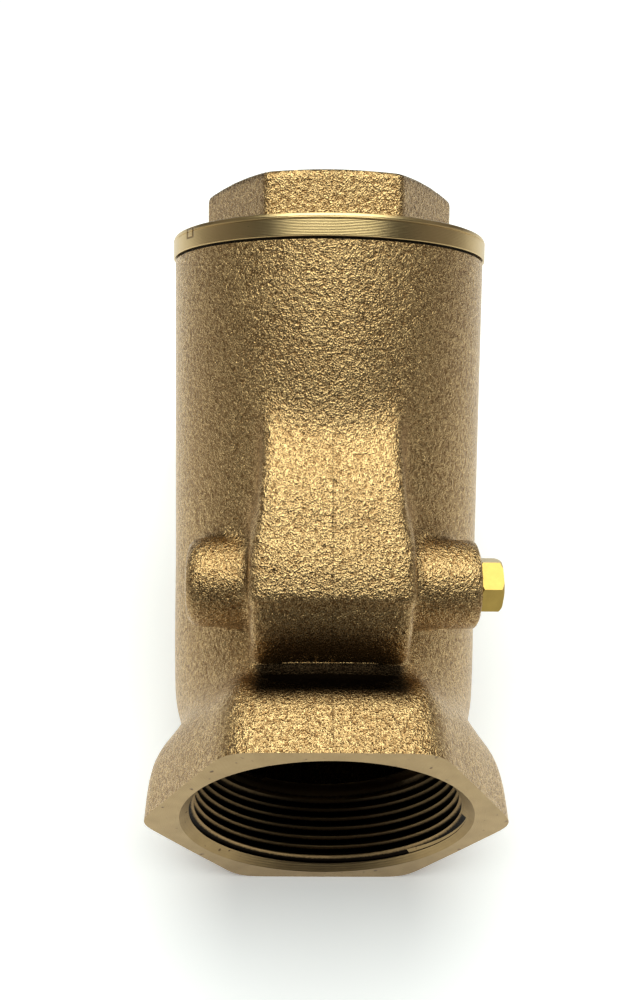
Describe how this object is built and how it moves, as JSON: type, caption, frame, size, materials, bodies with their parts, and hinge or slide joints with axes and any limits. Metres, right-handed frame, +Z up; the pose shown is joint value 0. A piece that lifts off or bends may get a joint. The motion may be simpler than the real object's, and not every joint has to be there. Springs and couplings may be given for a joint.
{
  "type": "swing check valve",
  "caption": "Y-pattern bronze swing check valve with female threaded hexagon ends, an angled neck, a screwed cap and a hinged disc that opens with the flow.",
  "frame": {"origin": "on the plane that the lower hub flats rest on, midway between the two end faces", "axes": "+X is the direction of flow, from inlet to outlet; +Z is up; the neck leans towards +X; the hinge pin plug is on the -Y side"},
  "size_m": [0.15, 0.0772, 0.1241],
  "materials": {
    "cast_bronze": "sand cast, grainy, with machined faces",
    "machined_bronze": "turned",
    "turned_brass": "bright turned",
    "stainless_steel": "ground",
    "seat_polymer": "smooth, waxy",
    "gasket_fibre": "flat"
  },
  "bodies": {
    "valve_body": {"body": "cast_bronze", "bonnet_cap": "cast_bronze", "cap_gasket": "gasket_fibre", "hinge_pin": "stainless_steel", "hinge_pin_plug": "turned_brass"},
    "hanger": {"disc_hanger": "cast_bronze"},
    "disc": {"disc_holder": "machined_bronze", "seat_disc": "seat_polymer", "seat_disc_washer": "machined_bronze", "seat_disc_nut": "turned_brass", "hanger_washer": "machined_bronze", "hanger_nut": "turned_brass", "cotter_pin": "stainless_steel"}
  },
  "joints": [
    {"name": "hanger_swing", "type": "hinge", "parent": "valve_body", "child": "hanger", "pos_m": [-0.03561, 0, 0.06632], "axis": [0, -1, 0], "range_deg": [0, 65]},
    {"name": "disc_spin", "type": "hinge", "parent": "hanger", "child": "disc", "pos_m": [-0.025, 0, 0.0345], "axis": [0.7071, 0, 0.7071], "continuous": true}
  ]
}
